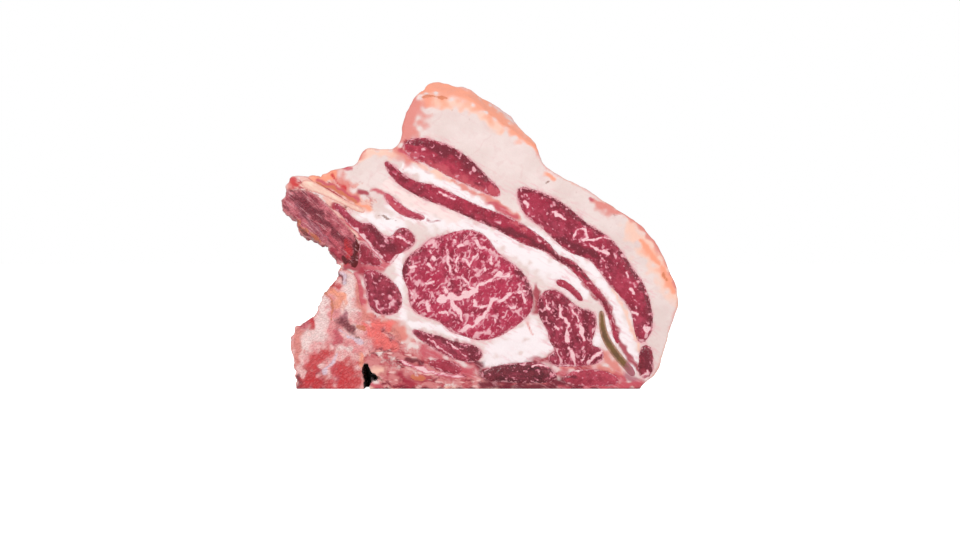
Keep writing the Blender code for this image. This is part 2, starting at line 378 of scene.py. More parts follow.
cutters = {name: cutter_for(name) for name in outlines if name != "fat"}
pieces = {}
for name, cutter in cutters.items():
    piece = skin.copy()
    piece.data = skin.data.copy()
    bpy.context.scene.collection.objects.link(piece)
    cut(piece, cutter, "INTERSECT")
    apply_modifiers(piece)
    piece.name = "steak_" + name
    pieces[name] = piece
for cutter in cutters.values():
    cut(skin, cutter, "DIFFERENCE")
apply_modifiers(skin)
skin.name = "steak_fat"
pieces["fat"] = skin
for cutter in cutters.values():
    bpy.data.objects.remove(cutter)
for piece in pieces.values():
    piece.data.name = piece.name
    print(piece.name, len(piece.data.vertices), "vertices")

# %% [markdown]
# ## A finer mesh on the cut faces
#
# The veins of fat in the lean are only a millimetre or two wide. They are stored on the
# vertices, so the faces that show them are divided once more. The walls inside the steak stay
# coarse, because nobody sees them.

# %% Dividing the cut faces
FACING = 0.6


def divide_faces(piece):
    """Divides the quads of the front and back face of a piece once."""
    shape = bmesh.new()
    shape.from_mesh(piece.data)
    shape.normal_update()
    for face in shape.faces:
        face.tag = abs(face.normal.y) > FACING and len(face.verts) == 4
    edges = [edge for edge in shape.edges if any(face.tag for face in edge.link_faces)]
    bmesh.ops.subdivide_edges(shape, edges=edges, cuts=1, use_grid_fill=True)
    shape.to_mesh(piece.data)
    shape.free()


for name in MUSCLES + FIRM:
    divide_faces(pieces[name])
print("eye:", len(pieces["rib_eye"].data.vertices), "vertices")

# %% [markdown]
# ## Stains and veins, drawn one by one
#
# Raw meat has features that no pattern gives: the big knot of fat in the eye, the salmon edge
# of the cap, red marrow, brown crumbs of sawn bone. Each is a stroke along a few stations. A
# station is a place in the photograph, in pixels, with a half width, and the photograph's
# scale turns it into millimetres on the steak. In the lean the strokes are pale veins and
# knots of fat, and places where the meat is darker or brighter. The painted contact shadow,
# a dark line along the foot, is a list of its own, because it runs over every piece.

# %% Strokes in the lean
PIXEL = 0.75
MIDDLE_COLUMN = 480.0
BASE_ROW = 389.0

LEAN_STROKES = [
    # Veins and knots of fat in the eye.
    ("pale", [(441, 297.5, 3.4), (448, 299, 4.6), (458, 299.5, 3.6), (467, 295.5, 3.2),
              (476, 292, 2.4)]),
    ("pale", [(452, 303, 2.4), (458, 311, 1.7), (461.5, 320, 1.3)]),
    ("pale", [(475, 296, 1.5), (475.5, 305.5, 1.3), (487, 306.5, 1)]),
    ("pale", [(475.5, 291, 1.5), (480, 285, 1.3), (492, 278, 1.3), (499, 275, 2), (508, 276, 1.9)]),
    ("pale", [(462.5, 275, 1.1), (465.5, 282, 1.2), (475.5, 290, 1.3)]),
    ("pale", [(526, 291, 1), (514, 292.5, 1.1), (504, 298, 1.9), (492, 301.5, 1.9), (485, 313.5, 1.7),
              (475, 324, 1.7), (465.5, 329, 1.5), (455, 333, 1.2)]),
    ("pale", [(446, 253, 1.5), (449.5, 268, 1.9), (451, 279, 1.1)]),
    ("pale", [(457, 258.5, 1.4), (456.5, 270, 1.3)]),
    ("pale", [(458, 247.5, 2), (462, 246.5, 1.8)]),
    ("pale", [(454, 240.5, 1), (457, 242.5, 1)]),
    ("pale", [(475, 240.5, 1.7), (482, 248.5, 1.1), (491, 252.5, 1.1), (491, 263, 1.3)]),
    ("pale", [(477, 253.5, 1.1), (469.5, 264.5, 1.3), (463, 259.5, 1)]),
    ("pale", [(430.5, 250.5, 1.6), (431.5, 252.5, 1.4)]),
    ("pale", [(433, 258, 1.8), (435, 259.5, 1.4)]),
    ("pale", [(410, 267, 1.2), (415, 266.5, 1.4)]),
    ("pale", [(430, 266, 1.8), (432, 268, 1.6)]),
    ("pale", [(484, 269, 1.7), (485, 271, 1.4)]),
    ("pale", [(444, 288, 1.5), (447, 291, 1.3)]),
    ("pale", [(424.5, 283.5, 1), (433, 282, 1)]),
    ("pale", [(427.5, 300.5, 1.2), (429.5, 310.5, 1.2), (434, 314, 1)]),
    ("pale", [(412, 293, 1.6), (414, 299, 1.6)]),
    ("pale", [(509, 306.5, 1.2), (515, 306.5, 1.4)]),
    ("pale", [(494, 320.5, 1.4), (496, 323, 1.2)]),
    ("pale", [(522.5, 293.5, 1), (525.5, 302.5, 1)]),
    ("pale", [(441, 313, 1.2), (446, 314, 1)]),
    ("wine", [(404, 276, 3), (406, 262, 3), (412, 250, 2.5)]),
    ("wine", [(519, 270, 3), (528, 283, 3), (532, 296, 3)]),
    # The muscle that caps the eye.
    ("pale", [(546, 301.5, 1.4), (547, 305.5, 1.3), (550.5, 310, 0.9)]),
    ("pale", [(559.5, 304, 1.1), (561, 315.5, 1.4), (569, 323, 1.6), (566.5, 330, 1.5),
              (567.5, 341, 1.5)]),
    ("pale", [(555, 328, 1.8), (557, 330.5, 1.5)]),
    ("pale", [(573.5, 310.5, 1.2), (578, 318.5, 1.4), (581.5, 330, 1.2), (583.5, 341.5, 1)]),
    ("pale", [(570, 348, 1.1), (572, 357, 1.4), (575.5, 366, 1.2)]),
    ("pale", [(585, 351.5, 1.1), (582.5, 360.5, 1.1)]),
    ("pale", [(602, 350.5, 1.1), (593, 358.5, 1.3), (589.5, 363, 1)]),
    ("wine", [(540, 300, 3), (543, 313, 4), (549, 322, 3)]),
    ("wine", [(585, 316, 3), (586, 330, 3), (588, 340, 2)]),
    ("wine", [(596, 362, 2.5), (599, 357, 2)]),
    # The outer lean.
    ("pale", [(527, 194.5, 1.3), (528, 197, 1.1)]),
    ("pale", [(526, 203, 1.2), (528.5, 207.5, 1.2)]),
    ("pale", [(553, 212, 1.1), (559, 215, 1.5), (566, 218.5, 1.1)]),
    ("pale", [(574.5, 235.5, 1.2), (578, 229.5, 1.2), (584.5, 230.5, 1.2), (587, 237.5, 1.1),
              (583, 240.5, 1)]),
    ("pale", [(586.5, 240.5, 1.2), (595.5, 240.5, 1.2), (602, 237, 1.3), (610, 238.5, 1.2)]),
    ("pale", [(590, 245, 1.2), (597.5, 250, 1.5), (607.5, 254.5, 2)]),
    ("pale", [(601, 256, 1), (603, 260, 1.2)]),
    ("pale", [(610, 277.5, 1.4), (611.5, 280, 1.2)]),
    ("pale", [(626.5, 272, 1), (627.5, 277, 1.1)]),
    ("pale", [(631, 290, 1.6), (632.5, 292.5, 1.5)]),
    ("pale", [(632, 313, 1.3), (638, 313.5, 1.2)]),
    ("pale", [(644, 328, 1.6), (647, 330.5, 1.9), (650, 328, 1.1)]),
    ("pale", [(638, 383, 1.2), (648, 372, 1.4)]),
    ("wine", [(520, 190, 3), (532.5, 188.5, 3), (560, 202, 3.4), (587, 224, 3.6), (608, 234, 3.4),
              (620, 247, 3.4), (632, 268, 3), (648, 300, 3), (653, 325, 3)]),
    ("wine", [(561, 239, 3), (580, 250, 3.4), (596, 256, 3)]),
    ("wine", [(642, 350, 3), (648, 362, 4), (652, 372, 3)]),
    # The long strips of lean above the eye.
    ("wine", [(408, 142, 4), (430, 146, 5), (455, 154, 6), (478, 167, 6), (492, 181, 4)]),
    ("rose", [(402, 147, 3), (408, 154, 4), (422, 162, 4), (442, 171, 4), (465, 183, 4), (484, 192, 4)]),
    ("peach", [(418, 166, 1.4), (440, 178, 2.2), (462, 189, 2.6), (482, 198, 2.4)]),
    ("salmon", [(446, 176, 2), (462, 184, 2.4), (478, 190, 2.4)]),
    ("rose", [(490, 189, 3), (497, 194, 3)]),
    ("wine", [(410, 193, 2.4), (440, 209, 2.4), (470, 219, 2.6), (500, 229.5, 2.4), (522, 236.5, 2.4),
              (549, 250, 2.4), (561, 260, 2.2), (576, 267.5, 2), (587, 278.5, 2)]),
    ("pale", [(440, 192.5, 0.8), (447, 196, 1), (455, 200, 0.8)]),
    ("pale", [(500, 212, 0.8), (508, 216, 1.1), (515, 220, 0.8)]),
    ("rose", [(510, 221, 1.8), (524, 229, 1.8)]),
    ("rose", [(387, 199, 3), (395, 208, 3), (403, 214, 2)]),
    # The leans beside the spine.
    ("pale", [(398, 236, 1.1), (406, 239, 1.2), (412, 245, 0.9)]),
    ("pale", [(392, 262, 1), (398, 256, 1), (408, 252, 1)]),
    ("pale", [(350, 224, 1.4), (362, 236, 1.6), (372, 247, 1.4), (382, 258, 1.2)]),
    ("wine", [(372, 228, 4), (384, 240, 5), (392, 248, 5)]),
    ("blood", [(358, 240, 1.4), (359, 252, 1.8), (357, 262, 1.6)]),
    # The leans at the foot.
    ("pale", [(533, 366.5, 1), (553, 365, 1), (573, 366, 1)]),
    ("pale", [(551, 374, 0.9), (565, 372, 1), (578, 370, 0.9)]),
    ("wine", [(545, 377.5, 1.3), (556, 376.5, 1.6), (576, 375.5, 1.4)]),
    ("wine", [(430, 336, 3), (450, 340, 4), (468, 346, 5), (480, 354, 5)]),
    ("pale", [(428, 340, 0.7), (444, 350, 0.9), (456, 362, 0.7)]),
    ("pale", [(447, 341, 0.6), (460, 352, 0.8), (468, 360, 0.6)]),
]
FOOT_SHADOW_STROKES = [
    # Painted contact shadow: a dark line along the foot, where the steak meets the floor.
    ("wine", [(296, 389.6, 1.2), (480, 389.8, 1), (655, 389.6, 1)]),
]
print("strokes in the lean:", len(LEAN_STROKES))

# %% [markdown]
# ## Strokes in the fat
#
# The fat is whitest in the seams between the muscles, and greyish in the cap. The skin side
# turns salmon, and it is torn and stained at the upper left. Scraps of lean too thin to be a
# piece of their own, such as the tail of the middle lean, are strokes here as well.

# %% Strokes in the fat
FAT_STROKES = [
    # White fat between the muscles.
    ("white", [(411, 323, 3), (424, 325, 3.4), (443, 329, 3.6), (454, 336, 3.6), (468, 338.5, 2.4)]),
    ("white", [(405, 166, 4), (430, 178, 5), (455, 190, 5), (480, 203, 4), (510, 214, 3)]),
    ("white", [(392, 208, 4), (420, 218, 6), (450, 224, 6), (480, 232, 7), (510, 245, 9), (540, 262, 10),
               (560, 275, 9), (585, 292, 7)]),
    ("white", [(530, 228, 3), (556, 249, 3), (580, 258, 3), (596, 275, 5), (612, 300, 6), (622, 330, 8),
               (630, 355, 7), (634, 368, 4)]),
    ("white", [(388, 220, 6), (398, 226, 6), (400, 262, 4), (398, 300, 4), (402, 316, 4)]),
    ("white", [(485, 364, 4), (500, 361, 5), (520, 357, 5), (540, 350, 7), (551, 346, 5)]),
    ("white", [(491, 350, 7), (510, 343, 9), (530, 330, 11), (540, 342, 9), (500, 352, 8)]),
    ("cream", [(386, 184, 4), (405, 198, 5), (430, 209, 5), (455, 219, 5)]),
    ("white", [(361, 217, 4), (373, 218, 4)]),
    ("white", [(376, 222, 4), (394, 228, 4)]),
    ("white", [(604, 318, 2.4), (608, 330, 2.6), (613, 344, 1.8)]),
    ("white", [(597.5, 336, 3), (597, 343, 3), (592, 348, 2)]),
    # The thin tail of the middle lean beside the gristle.
    ("crimson", [(603, 297, 2), (610, 309, 1.8), (615.5, 328, 1.9), (621, 347, 1.8), (628, 357, 1.6),
                 (636, 367, 1.4)]),
    ("crimson", [(582, 283, 1.2), (590, 292, 1.4), (597, 300, 1.2)]),
    # Lean and gristle that show between the lower muscles, and painted shade at the foot.
    ("crimson", [(535, 361, 3), (555, 357, 4), (572, 358, 5), (580, 366, 5)]),
    ("wine", [(510, 366, 3), (530, 371, 4), (555, 381, 4), (580, 384, 3)]),
    # Painted shade: dark where the underside recedes at the foot.
    ("wine", [(484, 376, 5), (500, 380, 5), (525, 383, 4)]),
    ("crimson", [(535, 286, 3.4), (537.5, 298, 4.4), (537, 312, 3)]),
    ("flush", [(606, 356, 5), (613, 366, 6), (620, 376, 5), (600, 368, 4)]),
    ("flush", [(560, 366, 2), (590, 369, 3)]),
    ("mauve", [(626, 376, 3.4), (636, 381, 3)]),
    ("rose", [(600, 381, 3), (622, 385, 3), (640, 384, 2.4)]),
    ("rose", [(462, 348, 5), (470, 360, 5), (478, 368, 4)]),
    ("rose", [(424, 350, 5), (440, 358, 5), (455, 368, 5), (470, 372, 5)]),
    ("wine", [(456, 346, 3), (470, 354, 4), (480, 366, 4)]),
    ("crimson", [(427, 219.5, 1), (434, 221, 0.8), (441, 221, 0.6)]),
    ("crimson", [(618, 340, 2), (628, 356, 2), (640, 371, 1.6)]),
    ("rose", [(556, 374, 4), (590, 376, 5), (622, 378, 4)]),
    ("rose", [(560, 387, 3), (600, 388, 4), (628, 387, 4)]),
    # Painted shade: dark where the underside recedes at the foot.
    ("wine", [(482, 385, 3), (520, 387, 3), (556, 387, 3)]),
    ("rose", [(372, 385, 3), (379, 387, 3)]),
    ("crimson", [(406.5, 139.5, 1.6), (403.5, 144, 2), (402, 149, 1.4)]),
    ("rose", [(400, 150, 2), (408, 155, 2.2), (418, 162, 2)]),
    ("peach", [(410, 159, 2), (431, 171, 2.4), (452, 182, 2.4)]),
    ("flush", [(452, 181, 1.4), (470, 190, 2), (486, 197, 2.6), (500, 206, 3.4), (520, 218, 2.6)]),
    ("rose", [(490, 203, 2), (504, 211, 2.6), (516, 218, 2)]),
    ("peach", [(598, 262, 1.4), (612, 286, 1.2), (627, 316, 1.2), (639, 346, 1.4), (642, 362, 2)]),
    ("rose", [(656, 378, 2.4), (664, 372, 2)]),
    ("rose", [(486, 372, 3), (520, 377, 3), (590, 386, 2)]),
    ("flush", [(526, 322, 1), (534, 334, 1)]),
    # The salmon skin side along the rim.
    ("salmon", [(425, 84, 13), (440, 86, 13), (458, 89, 11), (470, 96, 8), (488, 108, 7), (503, 119, 6),
                (515, 131, 5), (526, 140, 4), (538, 148, 3)]),
    ("amber", [(420, 96, 0.9), (432, 97, 1), (446, 98.5, 0.9)]),
    ("peach", [(420, 102, 5), (445, 103, 4), (468, 107, 4), (486, 118, 4), (500, 130, 4)]),
    ("flush", [(405, 134, 12), (409, 118, 13), (416, 104, 10)]),
    ("flush", [(404, 138, 8), (407, 122, 9)]),
    ("amber", [(428, 112, 0.8), (432, 114, 0.6)]),
    ("flush", [(538, 147, 3), (560, 160, 2.4), (590, 180, 2.4), (620, 205, 3), (648, 234, 3),
               (668, 262, 3), (677, 290, 3)]),
    ("salmon", [(548, 175, 2.6), (554, 179, 2.4)]),
    ("rose", [(589, 198, 1.6), (592, 201, 1.6)]),
    ("flush", [(596, 203, 4), (608, 209, 5), (616, 212, 4)]),
    ("peach", [(630, 228, 6), (646.5, 246, 9), (660, 266, 9), (669, 282, 7), (674, 296, 5)]),
    ("salmon", [(640, 241, 2.4), (648, 249, 3.2), (660, 265.5, 3.4), (668, 279, 3), (673, 292, 2)]),
    ("amber", [(664, 274, 1), (668, 280, 1.2)]),
    ("brown", [(546, 181.5, 1.3), (548.5, 182, 1)]),
    ("brown", [(615, 216.5, 1.3), (616.5, 217, 1)]),
    ("peach", [(400, 150, 4), (392, 156, 3), (380, 152, 3), (366, 153, 3), (360, 160, 3)]),
    ("flush", [(363, 151, 2.4), (360, 158, 2.4)]),
    ("flush", [(398, 150, 5), (408, 160, 5)]),
    ("rose", [(345, 167, 2), (352, 169, 1.5)]),
    # The upper left corner.
    ("marrow", [(293, 179, 2.5), (296.5, 184, 2.5)]),
    ("flush", [(290, 187, 3), (289, 205, 3), (290, 213, 2)]),
    ("sinew", [(298, 184, 5), (312, 184, 8), (330, 190, 11), (348, 200, 10), (366, 206, 6)]),
    ("sinew", [(330, 205, 5), (344, 220, 6), (358, 236, 5)]),
    ("salmon", [(313, 177, 3), (324, 179, 4), (334, 175, 3)]),
    ("flush", [(330, 172, 5), (342, 184, 7), (352, 196, 5)]),
    ("marrow", [(333, 176, 1.5), (339, 184, 2), (345, 190, 1.4)]),
    ("rose", [(318, 180, 1.6), (330, 186, 2), (344, 193, 2.2), (356, 200, 2)]),
    ("amber", [(317, 183, 1), (333, 189, 1.1), (350, 198, 1.2), (356, 202, 1)]),
    ("brown", [(345, 198.5, 1.2), (346.5, 207, 1.2)]),
    ("salmon", [(357, 204, 2.5), (368, 207, 2)]),
    ("crimson", [(361, 192, 2.6), (367, 194, 3)]),
    ("rose", [(369, 190, 1.2), (380, 191, 1.4), (387, 196, 1.4)]),
    ("brown", [(379, 215, 0.6), (388, 217, 0.8), (396, 222, 0.7)]),
    ("crimson", [(334, 205, 2.4), (344, 213, 3), (354, 224, 2.4)]),
    ("flush", [(333, 216, 2), (343, 227, 2), (352, 236, 1.4)]),
    ("rose", [(341, 218, 2), (352, 228, 2), (362, 236, 2.4), (380, 255, 2.4), (388, 264, 2)]),
    ("pale", [(366, 240, 0.8), (374, 249, 1), (382, 258, 0.8)]),
    ("crimson", [(354, 240, 4), (358, 256, 5), (360, 268, 5)]),
    ("rose", [(364, 269, 4), (380, 268, 4), (388, 262, 2)]),
    ("rose", [(356, 274, 3), (361, 288, 3), (363, 302, 3)]),
    ("brown", [(338, 220, 0.8), (348, 229.5, 0.8)]),
]
print("strokes in the fat:", len(FAT_STROKES))

# %% [markdown]
# ## Strokes in the bones and the gristle
#
# The saw has opened both bones. Their marrow is red, the cartilage between them is pale or
# bluish, and the black stroke is the shadow in the saw slot. The web is a mix of salmon fat,
# gristle and scraps beside the chine bone. These strokes run on over the fat next to the
# bones.

# %% Strokes in the bones
BONE_STROKES = [
    # The sawn feather bone.
    ("wine", [(291, 196, 4), (303, 201, 5), (313, 211, 6), (322, 220, 4)]),
    ("mauve", [(297, 205, 3), (312, 222, 4), (330, 241, 4)]),
    ("rose", [(311, 216, 2), (325, 231, 2.5), (340, 250, 3)]),
    ("wine", [(317, 213, 2), (332, 228, 2.5), (348, 247, 2.5)]),
    ("crimson", [(344, 240, 3), (350, 250, 4)]),
    ("amber", [(298, 221, 2.2), (304, 231, 2.8)]),
    ("brown", [(300, 226, 1.4), (305, 234, 1.6)]),
    ("amber", [(312, 234, 2), (319, 241, 2.2)]),
    ("crimson", [(331, 250, 3), (338, 257, 3)]),
    ("marrow", [(345, 243, 2.4), (350, 252, 3), (347, 261, 2.4)]),
    ("blood", [(355, 236, 3), (356.5, 249, 4), (354.5, 262, 4)]),
    ("blood", [(344, 260, 2.5), (352, 262, 2.5)]),
    ("crimson", [(346, 266, 3), (355, 269, 3), (360, 262, 3)]),
    # The neck and the chine bone.
    ("wine", [(340, 275, 2.5), (344, 281, 2.5)]),
    ("bluish", [(342, 272, 1.2), (345, 283, 1.4)]),
    ("marrow", [(331, 283, 3), (338, 287, 3)]),
    ("amber", [(326, 293, 1.6), (333, 300, 1.2), (331, 320, 1)]),
    ("salmon", [(333, 291, 4), (342, 296, 4), (338, 306, 4)]),
    ("cream", [(322, 300, 5), (323, 318, 6), (318, 334, 7), (306, 340, 6), (300, 352, 4)]),
    ("cream", [(350, 280, 6), (349, 296, 6.5), (345, 306, 5.5), (360, 310, 5)]),
    ("flush", [(358, 285, 4), (360, 300, 5), (366, 315, 6)]),
    ("rose", [(303, 324, 3), (311, 321, 2.5)]),
    ("marrow", [(311, 321, 1.8), (313, 327, 1.8)]),
    ("flush", [(299, 332, 3), (296, 345, 3), (297, 360, 3)]),
    ("wine", [(340, 322, 3), (346, 325, 4.2), (352, 329, 4)]),
    ("mauve", [(346, 313, 2), (344, 318, 2.4)]),
    ("amber", [(357, 327, 2), (364, 331, 2)]),
    ("brown", [(357, 337, 1.1), (359, 337.5, 1.1)]),
    ("bluish", [(341, 331.5, 1.4), (351, 337, 1.6), (361, 343, 1.6)]),
    ("rose", [(334, 333, 3), (341, 341, 3), (333, 344, 3)]),
    ("cream", [(342, 348, 2), (350, 350, 2)]),
    ("marrow", [(327, 351, 5), (319, 358, 7), (311, 368, 6)]),
    ("crimson", [(316, 374, 6), (308, 382, 7), (318, 384, 7)]),
    ("marrow", [(306, 381, 5), (313, 374, 5), (316, 384, 4)]),
    ("wine", [(299, 378, 2.5), (300, 386, 2.5)]),
    ("bluish", [(336.5, 355, 1.6), (331, 363, 1.8), (325, 372, 1.8)]),
    ("flush", [(324, 376, 2), (326, 387, 2)]),
    ("rose", [(337, 370, 5), (338, 382, 6)]),
    ("marrow", [(343, 366, 7), (348, 373, 10), (342, 384, 9), (356, 380, 8)]),
    ("salmon", [(361, 355, 1.6), (361, 366, 1.6)]),
    # Painted shadow: the dark inside of the saw slot, nearly black.
    ("soot", [(365.5, 367, 2.8), (366, 376, 3.6), (366.5, 389, 3.6)]),
    ("soot", [(371, 379, 3), (375, 379, 2.4)]),
    ("coral", [(368, 330, 5), (380, 336, 7), (390, 346, 5)]),
    ("coral", [(374, 324, 4), (388, 326, 4)]),
    ("peach", [(392, 330, 3), (404, 333, 3)]),
    ("flush", [(384, 322, 5), (396, 328, 5), (404, 338, 6)]),
    # The web of fat and gristle at the lower left.
    ("web", [(372, 318, 5), (380, 330, 10), (394, 350, 12), (415, 362, 12), (436, 372, 10),
             (470, 380, 8), (520, 384, 5), (640, 386, 3)]),
    ("web", [(372, 360, 8), (386, 376, 12), (410, 380, 12), (440, 384, 8)]),
    ("wine", [(407, 359, 1.8), (414, 361, 2), (423, 363, 1.4)]),
    ("crimson", [(434, 347, 1.2), (444, 353, 1.6), (454, 359, 1.2)]),
    ("crimson", [(399, 374, 2.6), (405, 380, 4), (412, 384, 3)]),
    ("amber", [(414, 376, 2.4), (424, 379, 2.4)]),
    ("brown", [(379, 378, 1.4), (383, 381, 1.4)]),
    ("peach", [(372, 372, 3), (382, 370, 3)]),
    ("pale", [(402, 362, 1.2), (420, 368, 1.4), (440, 374, 1.2), (465, 378, 1)]),
]
# The gristle is dark at its top and pinkish at its foot.
GRISTLE_STROKES = [
    ("brown", [(598, 305, 5), (600, 308, 5)]),
    ("mauve", [(632, 374, 9), (634, 377, 9)]),
]
print("strokes in the firm pieces:", len(BONE_STROKES) + len(GRISTLE_STROKES))

# %% [markdown]
# ## Painting the strokes
#
# Each stroke becomes a number from 0 to 1 on the vertices, by how far a vertex lies from the
# line through its stations. Smooth noise first pushes the drawing about a little, differently
# at each depth, so the strokes get crooked edges, and towards the back face they wander
# further. The painted shadow in the saw slot keeps a clean edge and ends with the slot. Along
# the sides all paint fades out unevenly, where the photo shows nothing.

# %% Painting
SOFT_TINTS = {"coral", "cream", "peach", "flush", "rose", "wine", "crimson", "mauve", "web",
              "salmon", "sinew", "white", "marrow", "bluish"}
# How wide the edge of a soft and of a hard stroke is, and the least that is worth storing.
SOFT_EDGE = 2.4
HARD_EDGE = 1.5
FAINTEST = 0.3
# The saw slot: its place in the drawing, its depth, the end of its painted shadow,
# and how far round it edges stay clean.
SLOT_PLACE = (-85.0, 8.0)
SLOT_DEPTH = 25.0
SLOT_FADE = 4.0
SLOT_REACH = 16.0
# How far noise pushes the drawing at the back and everywhere, how much it widens the strokes,
# and the sizes of that noise in the drawing and through the depth.
BACK_WANDER = 7.0
WANDER_SIZE = 22.0
WOBBLE = 1.9
WIDER = 1.1
WOBBLE_SIZE = 5.0
WOBBLE_DEPTH = 9.0
WOBBLE_START = 7.0
# How far behind a cut face paint starts to fade and is gone, and how unevenly it does so.
FADE_REACH = (13.0, 24.0)
FADE_WAVE = 15.0
FADE_SIZE = 16.0
FADE_WOBBLE = 5.0


def stroke_field(drawing, breadth, stations, soft_edge):
    """1 well inside a stroke, a half at its edge and 0 outside, for flat points in mm."""
    field = np.zeros(len(drawing))
    spots = np.array(stations, float)
    spots[:, 0] = (spots[:, 0] - MIDDLE_COLUMN) * PIXEL
    spots[:, 1] = (BASE_ROW - spots[:, 1]) * PIXEL
    spots[:, 2] *= PIXEL
    for start, end in zip(spots[:-1], spots[1:]):
        along = end[:2] - start[:2]
        share = np.clip((drawing - start[:2]) @ along / (along @ along), 0, 1)
        away = np.linalg.norm(drawing - start[:2] - share[:, None] * along, axis=1)
        half_width = (start[2] + share * (end[2] - start[2])) * breadth
        soft = np.maximum(2.0 * half_width, SOFT_EDGE) if soft_edge else HARD_EDGE
        field = np.maximum(field, np.clip(0.5 + (half_width - away) / soft, 0, 1))
    return field


def strayed(points):
    """Each point's place in the drawing, pushed about, and the noise that widens strokes."""
    depth = points[:, 1] + HALF_DEPTH
    drawing = face_drawing(points)
    share_back = depth / (2 * HALF_DEPTH)
    flat_sites = [Vector((x / WANDER_SIZE, 0, z / WANDER_SIZE)) for x, z in drawing]
    wander = np.array([noise.noise_vector(site) for site in flat_sites])
    drawing = drawing + wander[:, (0, 2)] * (BACK_WANDER * share_back)[:, None]
    deeper = WOBBLE_START + depth / WOBBLE_DEPTH
    across, upward = drawing.T / WOBBLE_SIZE
    sites = np.column_stack((across, deeper, upward))
    wobble = np.array([noise.noise_vector(Vector(site)) for site in sites])
    by_slot = np.linalg.norm(drawing - SLOT_PLACE, axis=1)[:, None] < SLOT_REACH
    drawing = drawing + np.where(by_slot, 0.0, WOBBLE) * wobble[:, (0, 2)]
    return drawing, wobble[:, 1]


def freshness(points, wobble):
    """1 near the cut faces and 0 deeper along the sides, with an uneven end."""
    behind = HALF_DEPTH - np.abs(points[:, 1]) + FADE_WAVE * waves(points, FADE_SIZE, 5.7)
    behind += FADE_WOBBLE * wobble
    return ease(behind, FADE_REACH[1], FADE_REACH[0])


def strokes_on(name):
    """The strokes that may touch a piece."""
    if name == "fat":
        return FAT_STROKES + BONE_STROKES + FOOT_SHADOW_STROKES
    if name == "blade_cartilage":
        return BONE_STROKES + FOOT_SHADOW_STROKES + GRISTLE_STROKES
    if name in FIRM:
        return BONE_STROKES + FOOT_SHADOW_STROKES
    return LEAN_STROKES + FOOT_SHADOW_STROKES


def store(mesh, name, values):
    """Stores one number on each vertex, for a material to read."""
    attribute = mesh.attributes.new(name, "FLOAT", "POINT")
    attribute.data.foreach_set("value", values.astype(np.float32))


TINTS = sorted({tint for tint, stations in LEAN_STROKES + FAT_STROKES + BONE_STROKES})
painted = {}
for name, piece in pieces.items():
    points = mesh_points(piece.data)
    drawing, wobble = strayed(points)
    breadth = 1.0 + WIDER * wobble
    fresh = freshness(points, wobble)
    # The painted shadow in the saw slot reaches only as deep as the slot.
    in_slot = ease(points[:, 1] + HALF_DEPTH, SLOT_DEPTH + SLOT_FADE, SLOT_DEPTH)
    painted[name] = []
    for tint in TINTS:
        soft_edge = tint in SOFT_TINTS
        field = np.zeros(len(points))
        for stroke_tint, stations in strokes_on(name):
            if stroke_tint == tint:
                field = np.maximum(field, stroke_field(drawing, breadth, stations, soft_edge))
        if field.max() > FAINTEST:
            store(piece.data, tint, field * (in_slot if tint == "soot" else fresh))
            painted[name].append(tint)
    print(name, "painted with", ", ".join(painted[name]))

# %% [markdown]
# ## Distances that the finishes need
#
# Lean is paler at its border, bone has a hard wall, fat is stained where it meets lean and
# turns to skin at the steak's outside. So every piece also stores how far each vertex is from
# its own border, and the fat how far it is from the lean and from the outside. The outside is
# what is left of the outlines of the fat and the bones where no other outline is near.

# %% Stored distances
def outside_stations():
    """Stations along the steak's outside."""
    free = []
    for name in ["fat"] + BONES:
        spots = np.array(walk(outlines[name]))
        crowded = border_away(spots, [other for other in outlines if other != name]) < 1.0
        free += [tuple(spot) for spot in spots[~crowded]]
    return free


for name, piece in pieces.items():
    own = face_drawing(mesh_points(piece.data))
    store(piece.data, "border", border_away(own, [name]))
own = face_drawing(mesh_points(pieces["fat"].data))
store(pieces["fat"].data, "rim", nearest(own, outside_stations()))
store(pieces["fat"].data, "lean_away", border_away(own, MUSCLES))
print("numbers stored on the fat:", len(pieces["fat"].data.attributes))

# %% [markdown]
# ## Building a material step by step
#
# A material is a small net of nodes. The helper below adds nodes and joins them, so that the
# recipes further down read like a list of steps. Patterns read Object coordinates, turned into
# millimetres, because then a pattern size is a real size on the meat.

# %% Helper for node nets
def colour(red, green, blue):
    """A colour as seen on a screen, 0 to 255, as the linear values that shaders use."""
    linear = []
    for value in (red, green, blue):
        share = value / 255
        linear.append(share / 12.92 if share <= 0.04045 else ((share + 0.055) / 1.055) ** 2.4)
    return (*linear, 1.0)


